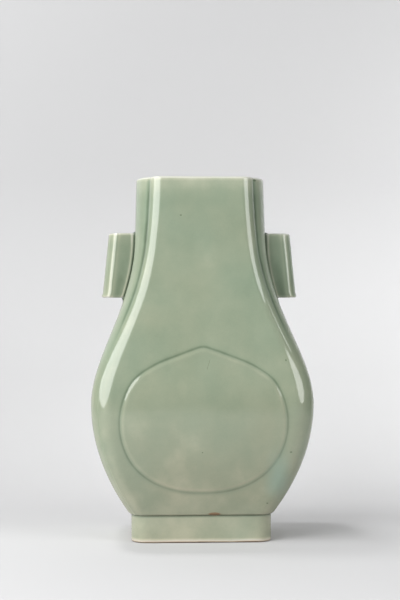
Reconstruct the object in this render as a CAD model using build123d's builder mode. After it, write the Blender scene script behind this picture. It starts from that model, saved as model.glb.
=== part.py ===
from build123d import *

import math
import os

# Porcelain vase of rectangular section with indented corners, a tubular handle on each narrow side and a peach
# in low relief on each broad side. It is put together the way a potter lutes a moulded vase: four walls mitred
# along the indented corners, a floor slab inside a foot ring, two open tubes and two relief panels.
#
# Millimetres. The front faces -Y, +X is to its right, +Z is up. The origin is the middle of the footprint.

# Driving dimensions
HEIGHT = 300.0
WALL = 4.8
LIP_EDGE = 1.6
HEEL_EDGE = 2.0
SECTION_COUNT = 19

# Foot and floor
FOOT_HEIGHT = 22.5
FOOT_HALF_WIDTH = 57.8
FOOT_HALF_DEPTH = 46.5
FOOT_CORNER = 14.0
FOOT_WALL = 6.0
FOOT_EDGE = 1.0
FLOOR_THICKNESS = 8.0

# Profiles of the body: (height, value, slope), joined by cubic curves
WIDTH_PROFILE = [
    (FOOT_HEIGHT, 59.2, 0.68),
    (114.0, 90.5, 0.0),
    (178.0, 71.8, -0.4),
    (246.0, 54.8, -0.02),
    (HEIGHT, 53.5, -0.02),
]
DEPTH_PROFILE = [
    (FOOT_HEIGHT, 47.8, 0.5),
    (114.0, 71.6, 0.0),
    (178.0, 57.2, -0.31),
    (246.0, 44.2, -0.02),
    (HEIGHT, 43.0, -0.01),
]
CORNER_PROFILE = [
    (FOOT_HEIGHT, 14.0, 0.08),
    (85.0, 17.5, 0.02),
    (145.0, 17.0, -0.05),
    (200.0, 12.3, -0.07),
    (240.0, 10.2, 0.0),
    (HEIGHT, 10.5, 0.0),
]
# How far the bottom of the groove along each corner lies in from the two faces beside it
GROOVE_PROFILE = [
    (FOOT_HEIGHT, 4.0, 0.0),
    (126.0, 5.0, 0.01),
    (160.0, 5.55, 0.022),
    (200.0, 6.7, 0.025),
    (235.0, 7.7, 0.055),
    (262.0, 9.4, 0.045),
    (HEIGHT, 10.25, 0.01),
]
GROOVE_RADIUS = 2.4
SEAM = 0.01

# Handles: open tubes that follow the wall inside and stand nearly straight outside
HANDLE_BOTTOM = 200.5
HANDLE_TOP = 254.5
HANDLE_OUTER_BOTTOM = 82.2
HANDLE_OUTER_TOP = 76.6
HANDLE_HALF_DEPTH = 14.5
HANDLE_WALL = 3.6
HANDLE_OUTER_RADIUS = 10.0
HANDLE_INNER_RADIUS = 2.6
HANDLE_SINK = 0.6
HANDLE_SECTION_COUNT = 6
HANDLE_EDGE = 1.1

# Relief panel, a peach that points up: (half-width, height) down one side, from the tip to the foot of the fruit
PANEL_RISE = 1.5
PANEL_TIP = (0.0, 160.6)
PANEL_TIP_RADIUS = 12.0
PANEL_TIP_TURN = 18.5
PANEL_SIDE = [
    (20.4, 154.0),
    (40.1, 145.9),
    (56.5, 134.0),
    (65.8, 114.0),
    (66.4, 88.0),
    (57.0, 66.0),
    (40.0, 51.0),
    (21.0, 44.0),
]
PANEL_FOOT = (9.0, 42.4)
PANEL_EDGE = 0.9


def profile(knots, height):
    """Value of a profile at a height, on the cubic between the two knots around it."""
    below = [knot for knot in knots if knot[0] <= height][-1:] or [knots[0]]
    above = [knot for knot in knots if knot[0] > height][:1] or [knots[-1]]
    (start_height, start, start_slope), (end_height, end, end_slope) = below[0], above[0]
    span = end_height - start_height
    if span == 0:
        return start
    t = min(max((height - start_height) / span, 0.0), 1.0)
    from_start = (1 + 2 * t) * (1 - t) ** 2 * start + t * (1 - t) ** 2 * span * start_slope
    from_end = t * t * (3 - 2 * t) * end - t * t * (1 - t) * span * end_slope
    return from_start + from_end


def groove_inset(height):
    """How far in the groove's bottom lies at a height. Where there is no groove it is the middle of the edge."""
    return max(profile(GROOVE_PROFILE, height), (1 - math.sqrt(0.5)) * profile(CORNER_PROFILE, height))


def corner_points(height, inset):
    """One corner of a broad wall's section, inset from the outside: the end of the straight run, two points round
    the edge and the bottom of the groove, as (across, out)."""
    corner = profile(CORNER_PROFILE, height)
    groove_x = profile(WIDTH_PROFILE, height) - groove_inset(height) + GROOVE_RADIUS * math.sqrt(0.5)
    groove_y = profile(DEPTH_PROFILE, height) - groove_inset(height) + GROOVE_RADIUS * math.sqrt(0.5)
    centre_y = profile(DEPTH_PROFILE, height) - corner
    centre_x = groove_x - math.sqrt((corner + GROOVE_RADIUS) ** 2 - (groove_y - centre_y) ** 2)
    turn = math.atan2(groove_x - centre_x, groove_y - centre_y)
    radius = corner - inset
    angles = [turn * share for share in (0.0, 0.45, 0.85)]
    edge = [(centre_x + radius * math.sin(angle), centre_y + radius * math.cos(angle)) for angle in angles]
    reach = (GROOVE_RADIUS + inset) * math.sqrt(0.5)
    return edge + [(groove_x - reach, groove_y - reach)]


def side_corner_points(height, inset):
    """One corner of a narrow wall's section: an eighth of a circle from the end of the straight run to the bottom
    of the groove, as (across, out)."""
    radius = groove_inset(height) / (1 - math.sqrt(0.5))
    centre_across = profile(DEPTH_PROFILE, height) - groove_inset(height) - radius * math.sqrt(0.5)
    centre_out = profile(WIDTH_PROFILE, height) - radius
    angles = [math.radians(angle) for angle in (0.0, 15.0, 30.0, 45.0)]
    reach = radius - inset
    return [(centre_across + reach * math.sin(angle), centre_out + reach * math.cos(angle)) for angle in angles]


def draw_wall_section(points, height):
    """Draws a wall's closed section in the sketch in hand. The wall faces -Y, and its ends are mitred at 45
    degrees along the grooves, a seam's width short of its neighbours."""
    outer = [(across, -out) for across, out in points(height, 0.0)]
    inner = [(across, -out) for across, out in points(height, WALL)]
    for edge in (outer, inner):
        end_x, end_y = edge[-1]
        edge[-1] = (end_x - SEAM, end_y - SEAM)
    for side in (1, -1):
        for edge in (outer, inner):
            Spline([(side * x, y) for x, y in edge], tangents=[(side, 0), (side, 1)])
        Line((side * outer[-1][0], outer[-1][1]), (side * inner[-1][0], inner[-1][1]))
    for edge in (outer, inner):
        Line(edge[0], (-edge[0][0], edge[0][1]))


def spread(bottom, top, count):
    """Evenly spaced heights, both ends included."""
    return [bottom + (top - bottom) * step / (count - 1) for step in range(count)]


def level(height, facing=0):
    """The level plane at a height whose -Y looks towards facing, in degrees: 0 is the front, 90 the right."""
    turn = math.radians(facing)
    return Plane((0, 0, height), x_dir=(math.cos(turn), math.sin(turn), 0), z_dir=(0, 0, 1))


def is_long(edge):
    """True of a wall's rim edges, and not of the two mitred ends."""
    return edge.length > WALL + 1.0


def upright(facing):
    """The upright plane through the Z axis that looks towards facing."""
    turn = math.radians(facing)
    across = (math.cos(turn), math.sin(turn), 0)
    return Plane((0, 0, 0), x_dir=across, z_dir=(math.sin(turn), -math.cos(turn), 0))


def handle_span(height):
    """Where the handle starts, inside the wall's face, and ends, at its outer side, on the local X axis."""
    share = (height - HANDLE_BOTTOM) / (HANDLE_TOP - HANDLE_BOTTOM)
    outer = HANDLE_OUTER_BOTTOM + (HANDLE_OUTER_TOP - HANDLE_OUTER_BOTTOM) * share
    return profile(WIDTH_PROFILE, height) - HANDLE_SINK, outer


def draw_handle_section(height, inset):
    """Draws the handle's rounded section in the sketch in hand, inset from its outside all round."""
    inner, outer = handle_span(height)
    inner += inset
    outer -= inset
    half_depth = HANDLE_HALF_DEPTH - inset
    outer_radius = HANDLE_OUTER_RADIUS - inset
    inner_radius = max(HANDLE_INNER_RADIUS - inset, HANDLE_INNER_RADIUS / 2)
    corners = [(inner, -half_depth), (outer, -half_depth), (outer, half_depth), (inner, half_depth)]
    radii = [inner_radius, outer_radius, outer_radius, inner_radius]
    FilletPolyline(*corners, radius=radii, close=True)


def finish_part(part, name):
    """Names a finished sub-part and writes it out."""
    part.label = name
    export_step(part, f"parts/{name}.step")


os.makedirs("parts", exist_ok=True)

# Walls, each lofted through its sections, with the lip rounded inside and out and the heel outside
walls = {}
wall_heights = spread(FOOT_HEIGHT, HEIGHT, SECTION_COUNT)
for name, points, facing in [
    ("front_wall", corner_points, 0),
    ("right_wall", side_corner_points, 90),
    ("back_wall", corner_points, 180),
    ("left_wall", side_corner_points, 270),
]:
    with BuildPart() as wall:
        for height in wall_heights:
            with BuildSketch(level(height, facing)):
                with BuildLine():
                    draw_wall_section(points, height)
                make_face()
        loft()
        fillet(wall.faces().sort_by(Axis.Z)[-1].edges().filter_by(is_long), LIP_EDGE)
        heel = wall.faces().sort_by(Axis.Z)[0].edges().filter_by(is_long)
        fillet(heel.sort_by(lambda edge: level(0, facing).to_local_coords(edge.center()).Y)[:3], HEEL_EDGE)
    walls[name] = wall
    finish_part(wall.part, name)

# Foot ring, open underneath
with BuildPart() as foot_ring:
    with BuildSketch():
        RectangleRounded(2 * FOOT_HALF_WIDTH, 2 * FOOT_HALF_DEPTH, FOOT_CORNER)
        offset(amount=-FOOT_WALL, mode=Mode.SUBTRACT)
    extrude(amount=FOOT_HEIGHT)
    fillet(foot_ring.faces().sort_by(Axis.Z)[0].edges(), FOOT_EDGE)
finish_part(foot_ring.part, "foot_ring")

# Floor slab, let into the top of the foot ring
with BuildPart() as base_slab:
    with BuildSketch(Plane.XY.offset(FOOT_HEIGHT - FLOOR_THICKNESS)):
        RectangleRounded(2 * FOOT_HALF_WIDTH, 2 * FOOT_HALF_DEPTH, FOOT_CORNER)
        offset(amount=-FOOT_WALL, mode=Mode.REPLACE)
    extrude(amount=FLOOR_THICKNESS)
finish_part(base_slab.part, "base_slab")

# Handles, on the two narrow sides
for name, facing, wall in [
    ("right_handle", 0, walls["right_wall"]),
    ("left_handle", 180, walls["left_wall"]),
]:
    with BuildPart() as handle:
        for inset, mode in [(0.0, Mode.ADD), (HANDLE_WALL, Mode.SUBTRACT)]:
            for height in spread(HANDLE_BOTTOM, HANDLE_TOP, HANDLE_SECTION_COUNT):
                with BuildSketch(level(height, facing)):
                    with BuildLine():
                        draw_handle_section(height, inset)
                    make_face()
            loft(mode=mode)
        ends = handle.faces().sort_by(Axis.Z)[0].edges() + handle.faces().sort_by(Axis.Z)[-1].edges()
        fillet(ends, HANDLE_EDGE)
        add(wall.part, mode=Mode.SUBTRACT)
    finish_part(handle.part, name)

# Peach panels, laid on the broad sides a seam's width off the wall, with its curve
panel_reach = max(half_width for half_width, height in PANEL_SIDE) + PANEL_RISE
for name, facing in [("front_peach_panel", 0), ("back_peach_panel", 180)]:
    with BuildPart() as panel:
        for height in wall_heights:
            with BuildSketch(level(height, facing)):
                with Locations((0, -profile(DEPTH_PROFILE, height) - (PANEL_RISE + SEAM) / 2)):
                    Rectangle(2 * panel_reach, PANEL_RISE - SEAM)
        loft()
        with BuildSketch(upright(facing)):
            with BuildLine():
                tip = JernArc(PANEL_TIP, (1, 0), PANEL_TIP_RADIUS, -PANEL_TIP_TURN)
                side = Spline(tip @ 1, *PANEL_SIDE, PANEL_FOOT, tangents=[tip % 1, (-1, 0)])
                Line(side @ 1, (0, PANEL_FOOT[1]))
                mirror(about=Plane.YZ)
            make_face()
        extrude(amount=HEIGHT, mode=Mode.INTERSECT)
        face = panel.faces().sort_by(lambda face: abs(face.center().Y))[-1]
        chamfer(face.edges(), PANEL_EDGE)
    finish_part(panel.part, name)
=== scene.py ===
import math

import bmesh
import bpy
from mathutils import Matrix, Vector


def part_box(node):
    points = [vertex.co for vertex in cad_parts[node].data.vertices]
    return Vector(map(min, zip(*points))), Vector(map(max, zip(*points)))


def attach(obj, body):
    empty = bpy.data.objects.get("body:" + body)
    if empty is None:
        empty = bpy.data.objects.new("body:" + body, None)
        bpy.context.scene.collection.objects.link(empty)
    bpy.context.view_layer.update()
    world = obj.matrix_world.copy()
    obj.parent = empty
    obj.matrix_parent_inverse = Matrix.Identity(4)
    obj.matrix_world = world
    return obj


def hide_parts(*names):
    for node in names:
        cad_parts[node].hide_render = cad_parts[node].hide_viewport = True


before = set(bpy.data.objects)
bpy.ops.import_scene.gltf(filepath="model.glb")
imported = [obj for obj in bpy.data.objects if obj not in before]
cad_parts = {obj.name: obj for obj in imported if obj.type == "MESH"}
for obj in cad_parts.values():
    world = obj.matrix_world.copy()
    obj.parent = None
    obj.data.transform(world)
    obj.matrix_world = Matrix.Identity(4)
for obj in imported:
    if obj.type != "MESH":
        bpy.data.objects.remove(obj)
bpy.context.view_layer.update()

# Looks of the porcelain vase. Shapes are worked out in millimetres, as in the frame's record, and turned into
# metres where a mesh is made. The front faces -Y, +X is to its right and +Z is up.
MM = 0.001


def extent(node):
    """Lowest and highest corner of a CAD node, in millimetres."""
    low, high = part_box(node)
    return low / MM, high / MM


wall_low, wall_high = extent("front_wall")
ring_high = extent("foot_ring")[1]
slab_low, slab_high = extent("base_slab")
handle_low, handle_high = extent("right_handle")

# Profiles of the body: (height, value, slope), joined by cubic curves
FOOT_TOP = wall_low.z
TOP = wall_high.z
WIDTH_PROFILE = [
    (FOOT_TOP, 59.2, 0.68),
    (114.0, 90.5, 0.0),
    (178.0, 71.8, -0.4),
    (246.0, 54.8, -0.02),
    (TOP, 53.5, -0.02),
]
DEPTH_PROFILE = [
    (FOOT_TOP, 47.8, 0.5),
    (114.0, 71.6, 0.0),
    (178.0, 57.2, -0.31),
    (246.0, 44.2, -0.02),
    (TOP, 43.0, -0.01),
]
CORNER_PROFILE = [
    (FOOT_TOP, 14.0, 0.08),
    (85.0, 17.5, 0.02),
    (145.0, 17.0, -0.05),
    (200.0, 12.3, -0.07),
    (240.0, 10.2, 0.0),
    (TOP, 10.5, 0.0),
]
# How far the bottom of the groove along each corner lies in from the two faces beside it
GROOVE_PROFILE = [
    (FOOT_TOP, 4.0, 0.0),
    (126.0, 5.0, 0.01),
    (160.0, 5.55, 0.022),
    (200.0, 6.7, 0.025),
    (235.0, 7.7, 0.055),
    (262.0, 9.4, 0.045),
    (TOP, 10.25, 0.01),
]
WALL = 4.8
GROOVE_RADIUS = 3.4
LIP_EDGE = 1.8
HEEL_EDGE = 2.0

# How finely the walls are divided
ROW_STEP = 2.2
FLAT_STEPS = 20
FLAT_CROWDING = 1.25
EDGE_STEPS = 14
GROOVE_STEPS = 6
ROUND_STEPS = 6

# Glaze on the walls. POOL adds to its thickness, which darkens it, and THIN takes from it, which lightens it.
# The grooves' darkening is partly pooled glaze and partly painted shade; the heel's lightening is partly thin
# glaze and partly painted light.
ARRIS_THIN = 0.2
ARRIS_WIDTH = 0.3
GROOVE_POOL_AND_SHADE = 0.85
GROOVE_DARK_WIDTH = 1.9
GROOVE_SHALLOW = 0.3
GROOVE_DEEP = 3.0
INSIDE_GLAZE = 0.1
LIP_THIN = 1.25
BELOW_LIP_THIN = 0.5
LIP_MARK_FADE = 0.7
HEEL_THIN_AND_LIT = 0.35

# Foot ring
FOOT_CORNER = 14.0
FOOT_WALL = 6.0
FOOT_EDGE = 1.9
SEAM_FLARE = 1.0
FOOT_RIM_THIN = 1.0
# Partly pooled glaze, partly painted shade under the body's heel
SEAM_POOL_AND_SHADE = 0.75

# Floor of the vessel: how thick its glaze is, how far that sweeps up to the walls, and how much it pools
FLOOR_GLAZE = 0.05
FLOOR_SWEEP = 2.4
FLOOR_POOL = 0.35

# Handles
HANDLE_OUTER_BOTTOM = handle_high.x
HANDLE_OUTER_TOP = 76.6
HANDLE_WALL = 3.6
HANDLE_ROUND = 15.0
HANDLE_ARRIS = 5.0
HANDLE_INNER_RADIUS = 3.0
HANDLE_SINK = 0.6
HANDLE_EDGE = 1.75
HANDLE_FLARE = 0.6

# Glaze on the handles: round their section from the outer side, and then along them
HANDLE_ROUND_THIN = 0.15
HANDLE_ARRIS_THIN = 0.6
# Lighter face next to the arris: partly thin glaze, partly painted highlight
HANDLE_FACE_THIN_AND_HIGHLIGHT = 0.45
HANDLE_FACE_POOL = 0.05
HANDLE_LOW_POOL = 0.5
# Pale inner ridge: partly thin glaze, partly painted highlight
HANDLE_RIDGE_THIN_AND_HIGHLIGHT = 1.1
# Dark where the handle turns in to the wall: partly pooled glaze, partly painted shade of the crease
HANDLE_JOINT_POOL_AND_SHADE = 1.5
HANDLE_INNER_POOL = 0.6
HANDLE_TOP_THIN = 0.75
HANDLE_BELOW_TOP_THIN = 0.35
# Pale bottom edge: partly thin glaze, partly a painted reflection of the floor
HANDLE_BOTTOM_THIN_AND_REFLECTION = 0.8

# The bead of glaze round a handle: how far it reaches over the wall, how far it rises, and how it is let in
JOINT_REACH = 0.7
JOINT_TOP_REACH = 2.2
JOINT_BOTTOM_REACH = 6.0
JOINT_END_RISE = 3.6
JOINT_OVERLAP = 0.6
JOINT_ROOT = 0.5
JOINT_TUCK = 0.95
JOINT_END_TUCK = 0.1
JOINT_CORNER = 1.0
# Dark bead: partly pooled glaze, partly painted shade of the crease
JOINT_POOL_AND_SHADE = 1.15

# Relief panel, a peach that points up. Its side is (half-width, height), from the tip down to the bottom.
PANEL_RISE = 1.5
PANEL_STEP = 0.68
PANEL_SHOULDER = 4.5
PANEL_TOE = 0.14
# The relief's foot line and halo are partly painted shade and shadow, its shoulder partly painted light
PANEL_LINE_POOL_AND_SHADE = 0.62
PANEL_HALO_POOL_AND_SHADOW = 0.16
PANEL_SHOULDER_THIN_AND_LIGHT = 0.22
PANEL_SWELL_WIDTH = 30.0
PANEL_HALF_WIDTH = 60.0
PANEL_SKIRT = 4.0
PANEL_LIFT = 0.02
PANEL_ROOT = 0.35
PANEL_MIDDLE = 97.0
PANEL_TIP_HEIGHT = 160.6
PANEL_TIP_RADIUS = 12.0
PANEL_TIP_TURN = 18.5
PANEL_SIDE = [
    (20.4, 154.0),
    (40.1, 145.9),
    (56.5, 134.0),
    (65.8, 114.0),
    (66.4, 88.0),
    (57.0, 66.0),
    (40.0, 51.0),
    (21.0, 44.0),
    (0.0, 42.1),
]


# ---- Curves ----


def spread(start, end, count):
    """Evenly spaced values, both ends included."""
    return [start + (end - start) * step / (count - 1) for step in range(count)]


def smooth_step(value, start, end):
    """0 before start, 1 after end, and a soft rise between them."""
    share = min(max((value - start) / (end - start), 0.0), 1.0)
    return share * share * (3 - 2 * share)


def bell(value, middle, width):
    """1 at the middle, falling off softly on both sides."""
    return math.exp(-(((value - middle) / width) ** 2))


def profile(knots, height):
    """Value of a profile at a height, on the cubic between the two knots around it."""
    below = [knot for knot in knots if knot[0] <= height][-1:] or [knots[0]]
    above = [knot for knot in knots if knot[0] > height][:1] or [knots[-1]]
    (start_height, start, start_slope), (end_height, end, end_slope) = below[0], above[0]
    span = end_height - start_height
    if span == 0:
        return start
    t = min(max((height - start_height) / span, 0.0), 1.0)
    from_start = (1 + 2 * t) * (1 - t) ** 2 * start + t * (1 - t) ** 2 * span * start_slope
    from_end = t * t * (3 - 2 * t) * end - t * t * (1 - t) * span * end_slope
    return from_start + from_end


def rounded_rectangle(half_width, half_depth, radius, corner_steps=10, side_steps=24):
    """A rounded rectangle's outline, counter-clockwise from the upper end of its right side."""
    outline = []
    corners = [(1, 1, 0), (-1, 1, 90), (-1, -1, 180), (1, -1, 270)]
    for sign_x, sign_y, start in corners:
        for step in range(corner_steps + 1):
            angle = math.radians(start + 90 * step / corner_steps)
            x = sign_x * (half_width - radius) + radius * math.cos(angle)
            y = sign_y * (half_depth - radius) + radius * math.sin(angle)
            outline.append((x, y))
    filled = []
    for index, point in enumerate(outline):
        following = outline[(index + 1) % len(outline)]
        filled.append(point)
        if index % (corner_steps + 1) == corner_steps:
            for step in range(1, side_steps):
                share = step / side_steps
                filled.append(tuple(a + (b - a) * share for a, b in zip(point, following)))
    return filled


# ---- Meshes ----


def loop_faces(row_count, column_count, wrap_rows=True, wrap_columns=True):
    """Quads over a grid of points stored row by row, which may close on itself either way."""
    faces = []
    for row in range(row_count if wrap_rows else row_count - 1):
        next_row = (row + 1) % row_count
        for column in range(column_count if wrap_columns else column_count - 1):
            next_column = (column + 1) % column_count
            faces.append((
                row * column_count + column,
                row * column_count + next_column,
                next_row * column_count + next_column,
                next_row * column_count + column,
            ))
    return faces


def signed_volume(mesh):
    """A closed mesh's volume, negative if its faces look inwards."""
    work = bmesh.new()
    work.from_mesh(mesh)
    volume = work.calc_volume(signed=True)
    work.free()
    return volume


def directions(facing):
    """Unit vectors along a side of the vase and out of it. Facing is its turn from the front, in degrees."""
    turn = math.radians(facing)
    along = Vector((math.cos(turn), math.sin(turn), 0.0))
    forward = Vector((math.sin(turn), -math.cos(turn), 0.0))
    return along, forward


def make_piece(name, points, faces, glaze, slot, node=None, normals=None):
    """A closed mesh with the thickness of its glaze at each point: -1 is thin, 0 usual and 1 pooled. In
    places the value also carries painted shade and painted light.

    If a CAD node is given, the piece stands for it."""
    mesh = bpy.data.meshes.new(name)
    mesh.from_pydata([Vector(point) * MM for point in points], [], faces)
    if signed_volume(mesh) < 0:
        mesh.flip_normals()
    mesh.polygons.foreach_set("use_smooth", [True] * len(mesh.polygons))
    thickness = mesh.attributes.new("glaze", "FLOAT", "POINT")
    thickness.data.foreach_set("value", glaze)
    mesh.materials.append(materials[slot])
    if normals:
        mesh.normals_split_custom_set_from_vertices(normals)
    piece = bpy.data.objects.new(name, mesh)
    bpy.context.collection.objects.link(piece)
    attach(piece, "root")
    if node:
        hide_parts(node)


# ---- Materials ----


def add_node(tree, kind, inputs=None, **settings):
    """Adds a shader node. Inputs are values, or sockets to link."""
    made = tree.nodes.new(kind)
    for name, value in settings.items():
        setattr(made, name, value)
    for name, value in (inputs or {}).items():
        if isinstance(value, bpy.types.NodeSocket):
            tree.links.new(value, made.inputs[name])
        else:
            made.inputs[name].default_value = value
    return made


def add_vector_math(tree, operation, first, second=(0.0, 0.0, 0.0)):
    """Adds a Vector Math node."""
    return add_node(tree, "ShaderNodeVectorMath", {0: first, 1: second}, operation=operation)


def add_math(tree, operation, first, second=0.0, third=0.0):
    """Adds a Math node and gives its result."""
    made = add_node(tree, "ShaderNodeMath", {0: first, 1: second, 2: third}, operation=operation)
    return made.outputs[0]


def add_noise(tree, coordinates, scale, detail=2.0, stretch=(1.0, 1.0, 1.0), offset=(0.0, 0.0, 0.0)):
    """Noise that is about -0.5 to 0.5, in object space, with features about 1/scale metres wide."""
    placing = {"Vector": coordinates, "Scale": stretch, "Location": offset}
    mapped = add_node(tree, "ShaderNodeMapping", placing)
    settings = {"Vector": mapped.outputs[0], "Scale": scale, "Detail": detail, "Roughness": 0.55}
    noise = add_node(tree, "ShaderNodeTexNoise", settings)
    return add_math(tree, "SUBTRACT", noise.outputs["Fac"], 0.5)


def add_range(tree, value, start, end, low=0.0, high=1.0, shape="LINEAR"):
    """Low up to the start, high after the end and a ramp between them. The start may be above the end."""
    made = add_node(
        tree,
        "ShaderNodeMapRange",
        {"Value": value, "From Min": start, "From Max": end, "To Min": low, "To Max": high},
        interpolation_type=shape,
    )
    return made.outputs[0]


def add_grey(tree, value):
    """A grey of the given brightness."""
    return add_node(tree, "ShaderNodeCombineColor", {0: value, 1: value, 2: value}).outputs[0]


def add_patch(tree, coordinates, centre, size, edge, ragged, noise):
    """1 inside an ellipsoid patch of the surface and 0 outside. A noise makes its soft edge ragged."""
    offset = add_vector_math(tree, "SUBTRACT", coordinates, Vector(centre) * MM)
    inverse = [1 / (side * MM) for side in size]
    scaled = add_vector_math(tree, "MULTIPLY", offset.outputs[0], inverse)
    length = add_vector_math(tree, "LENGTH", scaled.outputs[0])
    uneven = add_math(tree, "MULTIPLY_ADD", noise, ragged, length.outputs["Value"])
    return add_range(tree, uneven, 1.0, 1.0 - edge, shape="SMOOTHSTEP")


def add_ramp(tree, value, stops):
    """A colour ramp through (place, colour) stops."""
    ramp = add_node(tree, "ShaderNodeValToRGB", {"Fac": value})
    elements = ramp.color_ramp.elements
    while len(elements) < len(stops):
        elements.new(0.5)
    for element, (place, colour) in zip(elements, stops):
        element.position = place
        element.color = (*colour, 1.0)
    return ramp.outputs["Color"]


def add_mix(tree, share, first, second, blend="MIX"):
    """Mixes two colours."""
    made = add_node(tree, "ShaderNodeMix", data_type="RGBA", blend_type=blend)
    for socket, value in ((made.inputs[0], share), (made.inputs[6], first), (made.inputs[7], second)):
        if isinstance(value, bpy.types.NodeSocket):
            tree.links.new(value, socket)
        elif isinstance(value, tuple):
            socket.default_value = (*value, 1.0)
        else:
            socket.default_value = value
    return made.outputs[2]


# Celadon over pale stoneware: colour against the thickness of the glaze, from thin to deeply pooled
GLAZE_RANGE = 1.6
GLAZE_COLOURS = [
    (0.08, (0.445, 0.43, 0.375)),
    (0.26, (0.312, 0.323, 0.245)),
    (0.44, (0.214, 0.242, 0.177)),
    (0.56, (0.181, 0.216, 0.156)),
    (0.76, (0.105, 0.135, 0.092)),
    (0.95, (0.040, 0.050, 0.032)),
]
WARM_TINT = (1.055, 1.0, 0.96)
COOL_TINT = (0.94, 1.0, 0.99)
PATCH_BLUE = (0.185, 0.255, 0.205)
IRON_BROWN = (0.19, 0.12, 0.065)
SPECK_GREEN = (0.07, 0.10, 0.055)
BISCUIT = (0.42, 0.36, 0.27)
# Partly burnt clay, partly a painted contact shadow at the rim's edge
BURNT_AND_SHADOWED_CLAY = (0.13, 0.085, 0.055)

# Noises of the glaze: a scale is the number of features in a metre, and a share is how much a noise counts
CLOUD_SCALE = 17.0
CLOUD_SHARE = 1.0
MOTTLE_SCALE = 60.0
MOTTLE_SHARE = 0.7
RUN_SCALE = 110.0
RUN_SHARE = 0.16
# Lighter towards the foot: partly thinner glaze, partly painted light from the floor
LIGHTER_AT_FOOT = -0.38
WARMTH_SCALE = 13.0
WARMTH_SHARE = 2.4
WARM_AT_TOP = 0.1
WARM_AT_FOOT = 0.75
GRAIN_SCALE = 900.0
GRAIN_SHARE = 0.10
SWELL_SCALE = 38.0
PEEL_SCALE = 330.0
PEEL_SHARE = 0.05
RELIEF = 0.35

# Gloss
GLASS_IOR = 1.52
GLAZE_ROUGHNESS = 0.07
MOTTLE_DULLNESS = 0.03
CHIP_DULLNESS = 0.5
BISCUIT_DULLNESS = 0.6

# Marks in the glaze. A patch is (centre, half-sizes).
BLUISH_PATCH = ((61.0, -56.0, 58.0), (15.0, 30.0, 33.0))
BLUISH_SHARE = 0.75
CHIP_PATCH = ((10.0, -48.2, 24.0), (5.4, 3.0, 1.8))
SPECK_SCALE = 46.0
SPECK_REACH = 0.035
SPECK_CORE = 0.02
SPECK_CHOICE = 0.78
SPECK_SHARE = 0.8

# Specks in the glaze of the front and a faint slanting hairline, as (centre, half-sizes, strength)
FRONT_SPECKS = [
    ((-17.4, -45.0, 268.0), (1.2, 30.0, 0.8), 0.75),
    ((70.5, -50.0, 76.0), (1.7, 40.0, 1.1), 0.75),
    ((52.7, -50.0, 33.0), (1.2, 40.0, 0.8), 0.75),
    ((66.5, -50.0, 150.0), (1.1, 40.0, 1.4), 0.75),
    ((44.0, -30.0, 297.5), (2.2, 25.0, 1.2), 0.75),
    ((4.6, -60.0, 149.0), (0.5, 30.0, 2.2), 0.3),
    ((3.8, -60.0, 146.5), (0.5, 30.0, 2.2), 0.3),
    ((3.0, -60.0, 144.0), (0.5, 30.0, 2.2), 0.3),
]


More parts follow.
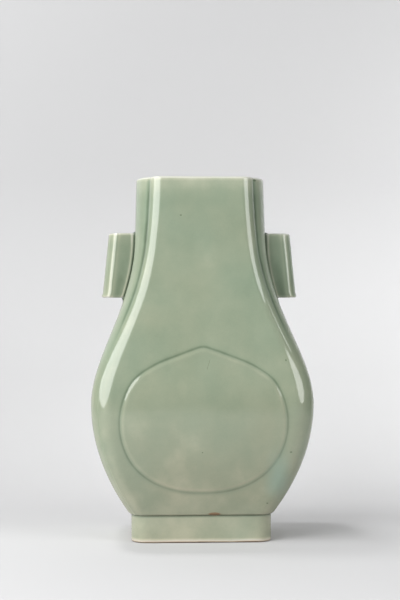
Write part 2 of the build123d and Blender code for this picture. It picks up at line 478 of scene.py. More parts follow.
def celadon(name, biscuit):
    """The vase's glaze: mottled green, pale where it runs thin over edges and dark where it pools. Some of
    that paleness and darkness is painted light and shade.

    The foot's copy also has the bare rim that it stands on, the biscuit."""
    material = bpy.data.materials.new(name)
    material.use_nodes = True
    tree = material.node_tree
    tree.nodes.clear()
    coordinates = add_node(tree, "ShaderNodeTexCoord").outputs["Object"]
    glaze = add_node(tree, "ShaderNodeAttribute", attribute_name="glaze").outputs["Fac"]

    # Colour from the thickness, which varies in clouds, mottling and fine runs, and falls towards the foot so
    # that the lower body is lighter: partly thinner glaze, partly painted light from the floor
    clouds = add_noise(tree, coordinates, CLOUD_SCALE, 2.0, (1.0, 1.0, 0.7))
    mottle = add_noise(tree, coordinates, MOTTLE_SCALE, 3.0, offset=(3.1, 1.7, 0.4))
    runs = add_noise(tree, coordinates, RUN_SCALE, 2.0, (1.0, 1.0, 0.1), (0.3, 2.2, 5.0))
    height = add_node(tree, "ShaderNodeSeparateXYZ", {0: coordinates}).outputs["Z"]
    lighter_below = add_range(tree, height, 25.0 * MM, 120.0 * MM, LIGHTER_AT_FOOT, 0.0)
    thickness = add_math(tree, "ADD", glaze, lighter_below)
    thickness = add_math(tree, "MULTIPLY_ADD", clouds, CLOUD_SHARE, thickness)
    thickness = add_math(tree, "MULTIPLY_ADD", mottle, MOTTLE_SHARE, thickness)
    thickness = add_math(tree, "MULTIPLY_ADD", runs, RUN_SHARE, thickness)
    place = add_math(tree, "MULTIPLY_ADD", thickness, 0.5 / GLAZE_RANGE, 0.5)
    colour = add_ramp(tree, place, GLAZE_COLOURS)

    # Warmer and cooler areas, warmer towards the foot, and a fine grain
    warmth = add_noise(tree, coordinates, WARMTH_SCALE, 2.0, (1.0, 1.0, 0.8), (7.0, 0.0, 2.0))
    lower = add_range(tree, height, 250.0 * MM, 30.0 * MM, WARM_AT_TOP, WARM_AT_FOOT)
    warm_share = add_math(tree, "MULTIPLY_ADD", warmth, WARMTH_SHARE, lower)
    tint = add_mix(tree, warm_share, COOL_TINT, WARM_TINT)
    colour = add_mix(tree, 1.0, colour, tint, "MULTIPLY")
    grain = add_noise(tree, coordinates, GRAIN_SCALE, 2.0)
    grain_grey = add_grey(tree, add_math(tree, "MULTIPLY_ADD", grain, GRAIN_SHARE, 1.0))
    colour = add_mix(tree, 1.0, colour, grain_grey, "MULTIPLY")

    # A bluish patch low on the right
    bluish = add_patch(tree, coordinates, *BLUISH_PATCH, 0.9, 0.5, mottle)
    colour = add_mix(tree, add_math(tree, "MULTIPLY", bluish, BLUISH_SHARE), colour, PATCH_BLUE)

    # Scattered specks, one in some of the cells, and those of the front
    cells = add_node(tree, "ShaderNodeTexVoronoi", {"Vector": coordinates, "Scale": SPECK_SCALE})
    near = add_range(tree, cells.outputs["Distance"], SPECK_REACH, SPECK_CORE)
    chosen = add_math(tree, "GREATER_THAN", cells.outputs["Color"], SPECK_CHOICE)
    scattered = add_math(tree, "MULTIPLY", near, chosen)
    colour = add_mix(tree, add_math(tree, "MULTIPLY", scattered, SPECK_SHARE), colour, SPECK_GREEN)
    for centre, size, strength in FRONT_SPECKS:
        speck = add_patch(tree, coordinates, centre, size, 0.6, 0.3, mottle)
        colour = add_mix(tree, add_math(tree, "MULTIPLY", speck, strength), colour, SPECK_GREEN)

    # The chip, which is dull
    chip = add_patch(tree, coordinates, *CHIP_PATCH, 0.35, 1.8, mottle)
    colour = add_mix(tree, chip, colour, IRON_BROWN)
    roughness = add_math(tree, "MULTIPLY_ADD", chip, CHIP_DULLNESS, GLAZE_ROUGHNESS)
    roughness = add_math(tree, "MULTIPLY_ADD", mottle, MOTTLE_DULLNESS, roughness)

    # The bare clay of the rim, darker at its very edge: partly burnt clay, partly a painted contact shadow
    if biscuit:
        uneven = add_math(tree, "MULTIPLY_ADD", mottle, 1.2 * MM, height)
        bare = add_range(tree, uneven, 1.9 * MM, 1.4 * MM)
        dark = add_range(tree, uneven, 1.1 * MM, 0.7 * MM)
        clay = add_mix(tree, dark, BISCUIT, BURNT_AND_SHADOWED_CLAY)
        colour = add_mix(tree, bare, colour, clay)
        roughness = add_math(tree, "MULTIPLY_ADD", bare, BISCUIT_DULLNESS, roughness)

    # A slow unevenness of the surface, with a fine orange peel on it
    swell = add_noise(tree, coordinates, SWELL_SCALE, 1.0)
    peel = add_noise(tree, coordinates, PEEL_SCALE, 2.0)
    relief = add_math(tree, "MULTIPLY_ADD", peel, PEEL_SHARE, swell)
    bump = add_node(tree, "ShaderNodeBump", {"Height": relief, "Strength": 1.0, "Distance": RELIEF * MM})
    shader = add_node(
        tree,
        "ShaderNodeBsdfPrincipled",
        {"Base Color": colour, "Roughness": roughness, "IOR": GLASS_IOR, "Normal": bump.outputs[0]},
    )
    add_node(tree, "ShaderNodeOutputMaterial", {"Surface": shader.outputs[0]})
    return material


materials = {
    "celadon_glaze": celadon("celadon_glaze", biscuit=False),
    "foot_glaze": celadon("foot_glaze", biscuit=True),
}


# ---- Walls ----


def groove_inset(height):
    """How far in the groove's bottom lies at a height, or the middle of the edge where there is no groove."""
    return max(profile(GROOVE_PROFILE, height), (1 - math.sqrt(0.5)) * profile(CORNER_PROFILE, height))


def flat_run(end, out):
    """The straight run of a section, from its middle, with closer points near its end."""
    shares = spread(0.0, 1.0, FLAT_STEPS + 1)[:-1]
    return [(end * (1 - (1 - share) ** FLAT_CROWDING), out, 0.0) for share in shares]


def half_section(height, inset):
    """Half of a broad wall's section as (across, out, glaze), from the middle to the bottom of the groove.

    The edge and the groove are arcs that meet smoothly."""
    corner = profile(CORNER_PROFILE, height)
    groove_x = profile(WIDTH_PROFILE, height) - groove_inset(height) + GROOVE_RADIUS * math.sqrt(0.5)
    groove_y = profile(DEPTH_PROFILE, height) - groove_inset(height) + GROOVE_RADIUS * math.sqrt(0.5)
    centre_y = profile(DEPTH_PROFILE, height) - corner
    centre_x = groove_x - math.sqrt((corner + GROOVE_RADIUS) ** 2 - (groove_y - centre_y) ** 2)
    turn = math.atan2(groove_x - centre_x, groove_y - centre_y)
    radius = corner - inset
    groove = GROOVE_RADIUS + inset
    # The groove darkens: partly pooled glaze, partly painted shade
    groove_dark = GROOVE_POOL_AND_SHADE * groove_depth(height)
    points = flat_run(centre_x, centre_y + radius)
    for share in spread(0.0, 1.0, EDGE_STEPS + 1):
        angle = turn * share
        thin = -ARRIS_THIN * bell(share, 0.5, ARRIS_WIDTH)
        pooled = groove_dark * bell(corner * turn * (1 - share), -1.0, GROOVE_DARK_WIDTH)
        across = centre_x + radius * math.sin(angle)
        points.append((across, centre_y + radius * math.cos(angle), thin + pooled))
    for share in spread(0.0, 1.0, GROOVE_STEPS + 1)[1:]:
        angle = turn + (math.pi / 4 - turn) * share
        pooled = groove_dark * bell(1 - share, 0.0, GROOVE_DARK_WIDTH)
        points.append((groove_x - groove * math.sin(angle), groove_y - groove * math.cos(angle), pooled))
    return points


def half_side_section(height, inset):
    """The same for a narrow wall. Its edge is an eighth of a circle that ends at the bottom of the groove."""
    radius = groove_inset(height) / (1 - math.sqrt(0.5))
    centre_across = profile(DEPTH_PROFILE, height) - groove_inset(height) - radius * math.sqrt(0.5)
    centre_out = profile(WIDTH_PROFILE, height) - radius
    reach = radius - inset
    points = flat_run(centre_across, centre_out + reach)
    for share in spread(0.0, 1.0, EDGE_STEPS + GROOVE_STEPS + 1):
        angle = math.pi / 4 * share
        to_groove = radius * math.pi / 4 * (1 - share)
        # The groove darkens: partly pooled glaze, partly painted shade
        pooled = GROOVE_POOL_AND_SHADE * groove_depth(height) * bell(to_groove, 0.0, GROOVE_DARK_WIDTH)
        thin = -ARRIS_THIN * bell(share, 0.5, ARRIS_WIDTH)
        across = centre_across + reach * math.sin(angle)
        points.append((across, centre_out + reach * math.cos(angle), pooled + thin))
    return points


def groove_depth(height):
    """0 where a corner has no groove, 1 where the groove is deep."""
    depth = groove_inset(height) - GROOVE_SHALLOW * profile(CORNER_PROFILE, height)
    return smooth_step(depth, 0.0, GROOVE_DEEP)


def wall_stations():
    """The way round a wall's upright section as (height, inset), up the outside and down the inside."""
    quarter = [math.radians(angle) for angle in spread(0.0, 90.0, ROUND_STEPS)]
    heel = [(FOOT_TOP + HEEL_EDGE * (1 - math.cos(a)), HEEL_EDGE * (1 - math.sin(a))) for a in quarter]
    count = round((TOP - FOOT_TOP) / ROW_STEP)
    heights = spread(FOOT_TOP + HEEL_EDGE, TOP - LIP_EDGE, count)
    outside = [(height, 0.0) for height in heights[1:-1]]
    lip = [(TOP - LIP_EDGE * (1 - math.sin(a)), LIP_EDGE * (1 - math.cos(a))) for a in quarter]
    lip_inside = [(height, WALL - inset) for height, inset in reversed(lip)]
    inside = [(height, WALL) for height, inset in reversed(outside)]
    return heel + outside + lip + lip_inside + inside + [(FOOT_TOP, WALL)]


def rim_glaze_and_shading(height, glaze):
    """The glaze runs thin off the lip. The heel is lighter, partly thin glaze and partly painted light on its
    rounded edge. The marks of the section, among them the grooves' partly painted shade, fade near the lip.
    """
    off_lip = LIP_THIN * smooth_step(height, TOP - 2.6, TOP - 0.6)
    below_lip = BELOW_LIP_THIN * smooth_step(height, TOP - 20.0, TOP - 2.0)
    # Lighter at the heel: partly thin glaze, partly painted light on its rounded edge
    heel_lightening = HEEL_THIN_AND_LIT * (1 - smooth_step(height, FOOT_TOP, FOOT_TOP + 2.5))
    kept = 1 - LIP_MARK_FADE * smooth_step(height, TOP - 5.0, TOP - 1.0)
    return glaze * kept - off_lip - below_lip - heel_lightening


def make_wall(node, section, facing):
    """A wall with its mitred ends, and normals that carry on across the grooves."""
    stations = wall_stations()
    along, forward = directions(facing)
    rows = []
    glaze = []
    for height, inset in stations:
        half = section(height, inset)
        full = [(-across, out, value) for across, out, value in reversed(half[1:])] + half
        level = Vector((0.0, 0.0, height))
        rows.append([along * across + forward * out + level for across, out, value in full])
        glaze += [rim_glaze_and_shading(height, value) if inset < WALL else INSIDE_GLAZE for across, out, value in full]
    column_count = len(rows[0])
    points = [point for row in rows for point in row]
    faces = loop_faces(len(rows), column_count, wrap_columns=False)
    faces += end_caps(len(stations), column_count)
    normals = grid_normals(rows, along, forward)
    make_piece(node + "_glazed", points, faces, glaze, "celadon_glaze", node, normals)


def end_caps(row_count, column_count):
    """Closes both ends of a wall with strips between its outside and its inside."""
    caps = []
    first = 0
    last = row_count - 1
    while last - first > 1:
        for column, flip in ((0, False), (column_count - 1, True)):
            corners = [first, first + 1, last - 1, last] if last - first > 2 else [first, first + 1, last]
            cap = [row * column_count + column for row in corners]
            caps.append(tuple(reversed(cap)) if flip else tuple(cap))
        first += 1
        last -= 1
    return caps


def grid_normals(rows, along, forward):
    """Normals of a wall's grid. At the two ends the run across is along the other wall's mirror line."""
    normals = []
    for index, row in enumerate(rows):
        before = rows[index - 1]
        after = rows[(index + 1) % len(rows)]
        for column in range(len(row)):
            if column == 0:
                across = along + forward
            elif column == len(row) - 1:
                across = along - forward
            else:
                across = row[column + 1] - row[column - 1]
            normal = across.cross(after[column] - before[column])
            normals.append(normal.normalized())
    return normals


for node, section, facing in [
    ("front_wall", half_section, 0),
    ("right_wall", half_side_section, 90),
    ("back_wall", half_section, 180),
    ("left_wall", half_side_section, 270),
]:
    make_wall(node, section, facing)


# ---- Foot and floor ----


def make_foot_ring():
    """The ring that the vase stands on: a rounded rim, and a roll of glaze in the joint under the body."""
    half_width, half_depth, top = ring_high
    quarter = spread(0.0, math.pi / 2, 7)
    outer_rim = [(FOOT_EDGE * (1 - math.sin(a)), FOOT_EDGE * (1 - math.cos(a))) for a in quarter]
    flare = [(-SEAM_FLARE * (1 - math.cos(a)), top - SEAM_FLARE * (1 - math.sin(a))) for a in quarter[:-1]]
    outer_side = [(0.0, height) for height in spread(FOOT_EDGE, top - SEAM_FLARE, 18)[1:-1]]
    shelf = [(-SEAM_FLARE, top), (FOOT_WALL / 4, top), (FOOT_WALL, top)]
    inner_side = [(FOOT_WALL, height) for height in spread(top, FOOT_EDGE, 10)[1:-1]]
    inner_rim = [(FOOT_WALL - inset, height) for inset, height in reversed(outer_rim)]
    stations = outer_rim + outer_side + flare + shelf + inner_side + inner_rim
    points = []
    glaze = []
    for inset, height in stations:
        outline = rounded_rectangle(half_width - inset, half_depth - inset, FOOT_CORNER - inset)
        points += [(x, y, height) for x, y in outline]
        thin = FOOT_RIM_THIN * (1 - smooth_step(height, 1.5, 4.5))
        # Darker at the top, under the body's heel: partly pooled glaze, partly painted shade
        pooled = SEAM_POOL_AND_SHADE * smooth_step(height, top - 1.9, top - 0.5)
        glaze += [pooled - thin] * len(outline)
    column_count = len(points) // len(stations)
    faces = loop_faces(len(stations), column_count)
    make_piece("foot_ring_glazed", points, faces, glaze, "foot_glaze", "foot_ring")


def fan_faces(ring_start, column_count, centre):
    """Triangles from a ring of points to its centre."""
    nexts = [(column + 1) % column_count for column in range(column_count)]
    return [(ring_start + column, ring_start + following, centre) for column, following in enumerate(nexts)]


def make_base_slab():
    """The floor: a slab whose glazed top sweeps up to the walls all round, let into the foot ring."""
    half_width, half_depth, top = slab_high
    bottom = slab_low.z
    corner = FOOT_CORNER - FOOT_WALL
    innermost = 0.9 * half_depth
    glazed = top + FLOOR_GLAZE
    arc = spread(0.0, 1.25, 8)
    rise = [(-FLOOR_SWEEP * math.sin(a), glazed + FLOOR_SWEEP * (1 - math.cos(a))) for a in arc]
    stations = [(inset, bottom) for inset in spread(innermost, 6.0, 8)]
    stations += [(0.6, bottom), (0.15, bottom + 0.15), (0.0, bottom + 0.6), (0.0, top), (-FLOOR_SWEEP, top)]
    stations += reversed(rise)
    stations += [(inset, glazed) for inset in spread(0.5, innermost, 14)]
    points = []
    for inset, height in stations:
        outline = rounded_rectangle(half_width - inset, half_depth - inset, max(corner - inset, 0.6))
        points += [(x, y, height) for x, y in outline]
    column_count = len(points) // len(stations)
    faces = loop_faces(len(stations), column_count, wrap_rows=False)
    faces += fan_faces((len(stations) - 1) * column_count, column_count, len(points))
    faces += [tuple(reversed(face)) for face in fan_faces(0, column_count, len(points) + 1)]
    points += [(0.0, 0.0, glazed), (0.0, 0.0, bottom)]
    make_piece("base_slab_glazed", points, faces, [FLOOR_POOL] * len(points), "celadon_glaze", "base_slab")


make_foot_ring()
make_base_slab()


# ---- Handles ----


def wall_at(height):
    """How far the narrow walls stand from the middle at a height."""
    return profile(WIDTH_PROFILE, height)


def handle_section(height, inset):
    """A handle's rounded section at a height as (out, across, glaze), all round from its outer side."""
    share = (height - handle_low.z) / (handle_high.z - handle_low.z)
    flare = HANDLE_FLARE * (1 - smooth_step(height, handle_low.z + 0.8, handle_low.z + 4.5))
    outer = HANDLE_OUTER_BOTTOM + (HANDLE_OUTER_TOP - HANDLE_OUTER_BOTTOM) * share - inset + flare
    inner = wall_at(height) - HANDLE_SINK + inset
    half_depth = handle_high.y - inset
    round_radius = HANDLE_ROUND - inset
    arris_radius = HANDLE_ARRIS - inset
    inner_radius = max(HANDLE_INNER_RADIUS - inset, HANDLE_INNER_RADIUS / 2)
    between = (HANDLE_ROUND - HANDLE_ARRIS) * math.sqrt(0.5)
    flat = handle_high.y - HANDLE_ARRIS - between
    arris_out = outer - round_radius + between
    pooled = HANDLE_FACE_POOL + HANDLE_LOW_POOL * (1 - smooth_step(share, 0.0, 0.8))
    half = [(outer, flat * step, 0.0) for step in (0.0, 0.5)]
    for step in spread(0.0, 1.0, 10)[:-1]:
        angle = math.pi / 4 * step
        out = outer - round_radius * (1 - math.cos(angle))
        half.append((out, flat + round_radius * math.sin(angle), -HANDLE_ROUND_THIN * step))
    for step in spread(0.0, 1.0, 9):
        angle = math.pi / 4 * (1 + step)
        out = arris_out + arris_radius * math.cos(angle)
        across = half_depth - arris_radius * (1 - math.sin(angle))
        half.append((out, across, -HANDLE_ARRIS_THIN * bell(step, 0.3, 0.4)))
    for step in spread(0.0, 1.0, 14)[1:-1]:
        end = inner + inner_radius
        # Lighter near the arris and along the inner ridge: partly thin glaze, partly painted highlight
        glaze = pooled * bell(step, 0.5, 0.35) - HANDLE_RIDGE_THIN_AND_HIGHLIGHT * smooth_step(step, 0.86, 1.0)
        glaze -= HANDLE_FACE_THIN_AND_HIGHLIGHT * (1 - smooth_step(step, 0.0, 0.3))
        half.append((arris_out + (end - arris_out) * step, half_depth, glaze))
    for step in spread(0.0, 1.0, 9):
        angle = math.pi / 2 * step
        # Dark where the rounding turns in to the wall: partly pooled glaze, partly painted shade; pale at its
        # start: partly painted highlight
        glaze = HANDLE_JOINT_POOL_AND_SHADE * smooth_step(step, 0.22, 0.5) - HANDLE_RIDGE_THIN_AND_HIGHLIGHT * bell(step, 0.0, 0.2)
        out = inner + inner_radius * (1 - math.sin(angle))
        half.append((out, half_depth - inner_radius * (1 - math.cos(angle)), glaze))
    for step in spread(1.0, 0.0, 6)[1:]:
        half.append((inner, (half_depth - inner_radius) * step, HANDLE_INNER_POOL))
    mirrored = [(out, -across, glaze) for out, across, glaze in reversed(half[1:-1])]
    return half + mirrored


def make_handle(node, side):
    """An open tube with rounded ends. Side is 1 on the right and -1 on the left."""
    bottom, top = handle_low.z, handle_high.z
    quarter = spread(0.0, math.pi / 2, 6)
    upper = [(top - HANDLE_EDGE * (1 - math.sin(a)), HANDLE_EDGE * (1 - math.cos(a))) for a in quarter]
    outside = [(height, 0.0) for height in spread(bottom + HANDLE_EDGE, top - HANDLE_EDGE, 40)[1:-1]]
    upper_inside = [(height, HANDLE_WALL - inset) for height, inset in reversed(upper)]
    inside = [(height, HANDLE_WALL) for height, inset in reversed(outside)]
    lower_inside = [(bottom + top - height, HANDLE_WALL - inset) for height, inset in upper]
    lower = [(bottom + top - height, inset) for height, inset in reversed(upper)]
    stations = outside + upper + upper_inside + inside + lower_inside + lower
    points = []
    glaze = []
    for height, inset in stations:
        section = handle_section(height, inset)
        points += [(side * out, across, height) for out, across, value in section]
        thin = HANDLE_TOP_THIN * smooth_step(height, top - 2.2, top - 0.7)
        thin += HANDLE_BELOW_TOP_THIN * smooth_step(height, top - 12.0, top - 1.0)
        # Paler at the bottom edge: partly thin glaze, partly a painted reflection of the floor
        thin += HANDLE_BOTTOM_THIN_AND_REFLECTION * (1 - smooth_step(height, bottom + 0.8, bottom + 2.2))
        glaze += [value - thin for out, across, value in section]
    column_count = len(points) // len(stations)
    faces = loop_faces(len(stations), column_count)
    make_piece(node + "_glazed", points, faces, glaze, "celadon_glaze", node)


def make_handle_joint(name, side):
    """The bead of glaze that pools round a handle where it is luted to the wall. Its dark colour is partly
    pooled glaze and partly painted shade of the crease.
    """
    half_depth = handle_high.y - JOINT_TUCK
    middle = (handle_low.z + handle_high.z) / 2
    half_height = (handle_high.z - handle_low.z) / 2 - JOINT_END_TUCK
    outline = rounded_rectangle(half_depth, half_height, JOINT_CORNER, corner_steps=6, side_steps=26)
    points = []
    for index, (across, up) in enumerate(outline):
        before = outline[index - 1]
        after = outline[(index + 1) % len(outline)]
        run = Vector((after[0] - before[0], after[1] - before[1])).normalized()
        away = Vector((run.y, -run.x))
        end_reach = JOINT_TOP_REACH if away.y > 0 else JOINT_BOTTOM_REACH
        reach_out = JOINT_REACH + (end_reach - JOINT_REACH) * away.y**2
        rise_out = JOINT_REACH + (JOINT_END_RISE - JOINT_REACH) * away.y**2
        bead = [(-JOINT_OVERLAP, -JOINT_ROOT), (reach_out, -JOINT_ROOT)]
        for step in spread(0.0, 1.0, 9):
            angle = math.pi / 2 * step
            bead.append((reach_out * (1 - math.sin(angle)), rise_out * (1 - math.cos(angle))))
        bead.append((-JOINT_OVERLAP, rise_out))
        for reach, rise in bead:
            level = middle + up + away.y * reach
            points.append((side * (wall_at(level) + rise), across + away.x * reach, level))
    column_count = len(points) // len(outline)
    faces = loop_faces(len(outline), column_count)
    make_piece(name, points, faces, [JOINT_POOL_AND_SHADE] * len(points), "celadon_glaze")


for node, name, side in [("right_handle", "right_handle_joint", 1), ("left_handle", "left_handle_joint", -1)]:
    make_handle(node, side)
    make_handle_joint(name, side)


# ---- Peach panels ----


def smooth_through(knots, start_direction, end_direction, steps):
    """A cubic curve through points, with each point's slope taken from its neighbours."""
    knots = [Vector(knot) for knot in knots]
    lengths = [(after - before).length for before, after in zip(knots, knots[1:])]
    slopes = [Vector(start_direction).normalized()]
    for index in range(1, len(knots) - 1):
        before = (knots[index] - knots[index - 1]) / lengths[index - 1]
        after = (knots[index + 1] - knots[index]) / lengths[index]
        share = lengths[index - 1] / (lengths[index - 1] + lengths[index])
        slopes.append(before.lerp(after, share))
    slopes.append(Vector(end_direction).normalized())
    curve = []
    for index, length in enumerate(lengths):
        for t in spread(0.0, 1.0, steps + 1)[:-1]:
            start = knots[index] * (1 + 2 * t) * (1 - t) ** 2 + slopes[index] * length * t * (1 - t) ** 2
            end = knots[index + 1] * t * t * (3 - 2 * t) - slopes[index + 1] * length * t * t * (1 - t)
            curve.append(start + end)
    return curve + [knots[-1]]


def peach_outline():
    """The whole outline, clockwise from the tip, in the broad side's own (across, up)."""
    turns = [math.radians(angle) for angle in spread(0.0, PANEL_TIP_TURN, 6)]
    tip = []
    for turn in turns:
        drop = PANEL_TIP_RADIUS * (1 - math.cos(turn))
        tip.append(Vector((PANEL_TIP_RADIUS * math.sin(turn), PANEL_TIP_HEIGHT - drop)))
    tip_direction = (math.cos(turns[-1]), -math.sin(turns[-1]))
    side = smooth_through([tip[-1]] + PANEL_SIDE, tip_direction, (-1.0, 0.0), 12)
    right = tip[:-1] + side
    left = [Vector((-point.x, point.y)) for point in reversed(right[1:-1])]
    return right + left


def offset_outline(outline, distance):
    """The outline moved inwards by a distance, or outwards if it is negative."""
    moved = []
    for index, point in enumerate(outline):
        run = (outline[(index + 1) % len(outline)] - outline[index - 1]).normalized()
        moved.append(point + Vector((run.y, -run.x)) * distance)
    return moved


def panel_rise(distance):
    """How far the relief stands off the wall at a distance inside its outline."""
    share = min(max(distance / PANEL_SHOULDER, 0.0), 1.0)
    eased = share * share * (1 + PANEL_TOE) / (share + PANEL_TOE)
    step = (PANEL_STEP - PANEL_LIFT) * math.sin(math.pi / 2 * eased)
    swell = (PANEL_RISE - PANEL_STEP) * smooth_step(distance, 0.0, PANEL_SWELL_WIDTH)
    return PANEL_LIFT + step + swell


def panel_glaze_and_shading(distance):
    """The foot of the relief is darker, partly pooled glaze and partly painted shade, with a faint painted
    shadow just outside it. Its shoulder is lighter, partly thin glaze and partly painted light.
    """
    line = PANEL_LINE_POOL_AND_SHADE * bell(distance, -0.1, 0.95)
    halo = PANEL_HALO_POOL_AND_SHADOW * bell(distance, -1.3, 1.4)
    thin = PANEL_SHOULDER_THIN_AND_LIGHT * bell(distance, 2.6, 1.3)
    return line + halo - thin


def make_panel(node, facing):
    """A peach in low relief that follows its wall, with a thin skirt of glaze around it."""
    outline = peach_outline()
    along, forward = directions(facing)
    middle = Vector((0.0, PANEL_MIDDLE))
    skirt = [-PANEL_SKIRT, 0.03 - PANEL_SKIRT, -3.0, -2.2, -1.6, -1.2, -0.9, -0.6, -0.3]
    shoulder = spread(0.0, PANEL_SHOULDER, 13) + [PANEL_SHOULDER + 0.7, PANEL_SHOULDER + 1.6]
    points = []
    glaze = []

    def add_ring(ring, rise, value):
        for place in ring:
            out = profile(DEPTH_PROFILE, place.y) + rise
            points.append(along * place.x + forward * out + Vector((0.0, 0.0, place.y)))
            glaze.append(value)

    last_ring = offset_outline(outline, shoulder[-1])
    scales = spread(0.95, 0.05, 19)
    inner_rings = [[middle + (place - middle) * scale for place in last_ring] for scale in scales]
    for ring in reversed(inner_rings[::3]):
        add_ring(ring, -PANEL_ROOT, 0.0)
    add_ring(offset_outline(outline, -PANEL_SKIRT), -PANEL_ROOT, 0.0)
    for distance in skirt + shoulder:
        add_ring(offset_outline(outline, distance), panel_rise(distance), panel_glaze_and_shading(distance))
    for ring, scale in zip(inner_rings, scales):
        add_ring(ring, panel_rise(shoulder[-1] + (1 - scale) * PANEL_HALF_WIDTH), 0.0)
    column_count = len(outline)
    row_count = len(points) // column_count
    faces = loop_faces(row_count, column_count, wrap_rows=False)
    faces += fan_faces((row_count - 1) * column_count, column_count, len(points))
    faces += [tuple(reversed(face)) for face in fan_faces(0, column_count, len(points) + 1)]
    centre_out = profile(DEPTH_PROFILE, PANEL_MIDDLE)
    for rise in (PANEL_RISE, -PANEL_ROOT):
        points.append(forward * (centre_out + rise) + Vector((0.0, 0.0, PANEL_MIDDLE)))
        glaze.append(0.0)
    make_piece(node + "_glazed", points, faces, glaze, "celadon_glaze", node)


for node, facing in [("front_peach_panel", 0), ("back_peach_panel", 180)]:
    make_panel(node, facing)


# ---- Camera, backdrop and lights ----

CAMERA_DISTANCE = 1.25
CAMERA_AZIMUTH = -3.0
CAMERA_HEIGHT = 0.1985
CAMERA_LENS = 88.4
CAMERA_SHIFT = 0.0012


def make_camera():
    """Level, a little left of the front."""
    data = bpy.data.cameras.new("camera")
    data.lens = CAMERA_LENS
    data.sensor_width = 36.0
    data.shift_x = CAMERA_SHIFT
    camera = bpy.data.objects.new("camera", data)
    turn = math.radians(CAMERA_AZIMUTH)
    camera.location = (CAMERA_DISTANCE * math.sin(turn), -CAMERA_DISTANCE * math.cos(turn), CAMERA_HEIGHT)
    camera.rotation_euler = (math.radians(90.0), 0.0, turn)
    bpy.context.collection.objects.link(camera)
    bpy.context.scene.camera = camera


def around(azimuth, distance, height):
    """A place round the vase, in metres. The azimuth is in degrees, positive to the right of the front."""
    turn = math.radians(azimuth)
    return (distance * math.sin(turn), -distance * math.cos(turn), height)


def make_softbox(name, place, aim, size, radiance, shape="RECTANGLE", beam=180.0):
    """A softbox at a place, facing another point. Its size is in metres and its beam in degrees.

    Its brightness doesn't depend on its size."""
    data = bpy.data.lights.new(name, "AREA")
    data.shape = shape
    data.size, data.size_y = size
    data.energy = radiance * math.pi * size[0] * size[1]
    data.spread = math.radians(beam)
    light = bpy.data.objects.new(name, data)
    light.location = place
    light.rotation_euler = (Vector(aim) - Vector(place)).to_track_quat("-Z", "Y").to_euler()
    bpy.context.collection.objects.link(light)


# The sheet under and behind the vase, and where it begins to fade out, in metres
SWEEP_HALF_WIDTH = 1.2
SWEEP_FADE_SIDE = 0.45
SWEEP_FRONT = -1.9
SWEEP_FADE_FRONT = -0.5
SWEEP_FLAT_BACK = 0.14
SWEEP_RADIUS = 0.35
SWEEP_TOP = 2.0
PAPER_TONE = (0.515, 0.515, 0.52)


def paper(name):
    """Matt paper of the sweep, a little darker where it rises. It fades out towards its front and sides.

    Its back lets the view through, so that the vase shows from all sides."""
    material = bpy.data.materials.new(name)
    material.use_nodes = True
    tree = material.node_tree
    tree.nodes.clear()
    coordinates = add_node(tree, "ShaderNodeTexCoord").outputs["Object"]
    tooth = add_noise(tree, coordinates, 700.0, 3.0)
    place = add_node(tree, "ShaderNodeSeparateXYZ", {0: coordinates})
    depth = place.outputs["Y"]
    aside = add_math(tree, "ABSOLUTE", place.outputs["X"])
    risen = add_range(tree, depth, 0.04, 0.40, 1.0, 0.74)
    shade = add_grey(tree, add_math(tree, "MULTIPLY_ADD", tooth, 0.01, risen))
    colour = add_mix(tree, 1.0, shade, PAPER_TONE, "MULTIPLY")
    shader = add_node(tree, "ShaderNodeBsdfPrincipled", {"Base Color": colour, "Roughness": 0.9, "IOR": 1.2})
    clear = add_node(tree, "ShaderNodeBsdfTransparent")
    front_fade = add_range(tree, depth, SWEEP_FADE_FRONT, SWEEP_FRONT)
    side_fade = add_range(tree, aside, SWEEP_FADE_SIDE, SWEEP_HALF_WIDTH)
    edge_fade = add_math(tree, "MAXIMUM", side_fade, front_fade)
    behind = add_node(tree, "ShaderNodeNewGeometry").outputs["Backfacing"]
    clear_share = add_math(tree, "MAXIMUM", behind, edge_fade)
    seen = add_node(tree, "ShaderNodeMixShader", {0: clear_share, 1: shader.outputs[0], 2: clear.outputs[0]})
    add_node(tree, "ShaderNodeOutputMaterial", {"Surface": seen.outputs[0]})
    return material


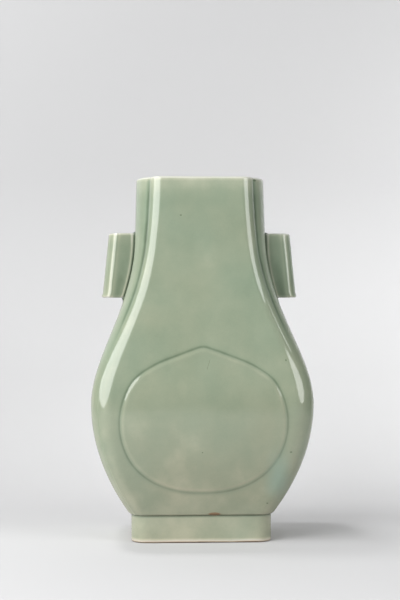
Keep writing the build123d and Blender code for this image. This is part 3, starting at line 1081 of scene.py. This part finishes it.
def make_sweep():
    """A sheet of pale paper that lies flat under the vase and curves up behind it."""
    side = [(SWEEP_FRONT, 0.0), (SWEEP_FLAT_BACK, 0.0)]
    for angle in spread(0.0, 90.0, 25)[1:]:
        turn = math.radians(angle)
        side.append((SWEEP_FLAT_BACK + SWEEP_RADIUS * math.sin(turn), SWEEP_RADIUS * (1 - math.cos(turn))))
    side.append((SWEEP_FLAT_BACK + SWEEP_RADIUS, SWEEP_TOP))
    points = [(x, y, z) for y, z in side for x in (-SWEEP_HALF_WIDTH, SWEEP_HALF_WIDTH)]
    faces = loop_faces(len(side), 2, wrap_rows=False, wrap_columns=False)
    mesh = bpy.data.meshes.new("sweep")
    mesh.from_pydata(points, [], faces)
    mesh.polygons.foreach_set("use_smooth", [True] * len(mesh.polygons))
    mesh.materials.append(paper("sweep_paper"))
    sweep = bpy.data.objects.new("sweep", mesh)
    bpy.context.collection.objects.link(sweep)


make_camera()
make_sweep()
make_softbox("key", around(-52.0, 1.2, 0.93), (0.0, 0.0, 0.93), (1.7, 1.85), 5.05, "ELLIPSE")
make_softbox("right", around(49.0, 1.2, 0.55), (0.0, 0.0, 0.55), (0.80, 0.95), 4.35, "ELLIPSE")
make_softbox("overhead", (-0.45, 0.25, 1.55), (-0.1, 0.1, 0.0), (0.25, 0.25), 38.0)
make_softbox("backdrop", (0.9, 0.0, 0.9), (0.38, 0.48, 0.10), (0.4, 0.4), 3.6, beam=60.0)

# The room is pale to look at, but lights the vase only a little
ROOM_LIGHT = 0.04
ROOM_SEEN = 0.74

world = bpy.data.worlds.new("studio")
world.use_nodes = True
room = world.node_tree
background = room.nodes["Background"]
seen = add_node(room, "ShaderNodeLightPath").outputs["Is Camera Ray"]
strength = add_math(room, "MULTIPLY_ADD", seen, ROOM_SEEN - ROOM_LIGHT, ROOM_LIGHT)
room.links.new(strength, background.inputs["Strength"])
background.inputs["Color"].default_value = (1.0, 1.0, 1.0, 1.0)
bpy.context.scene.world = world
bpy.context.scene.view_settings.view_transform = "Standard"
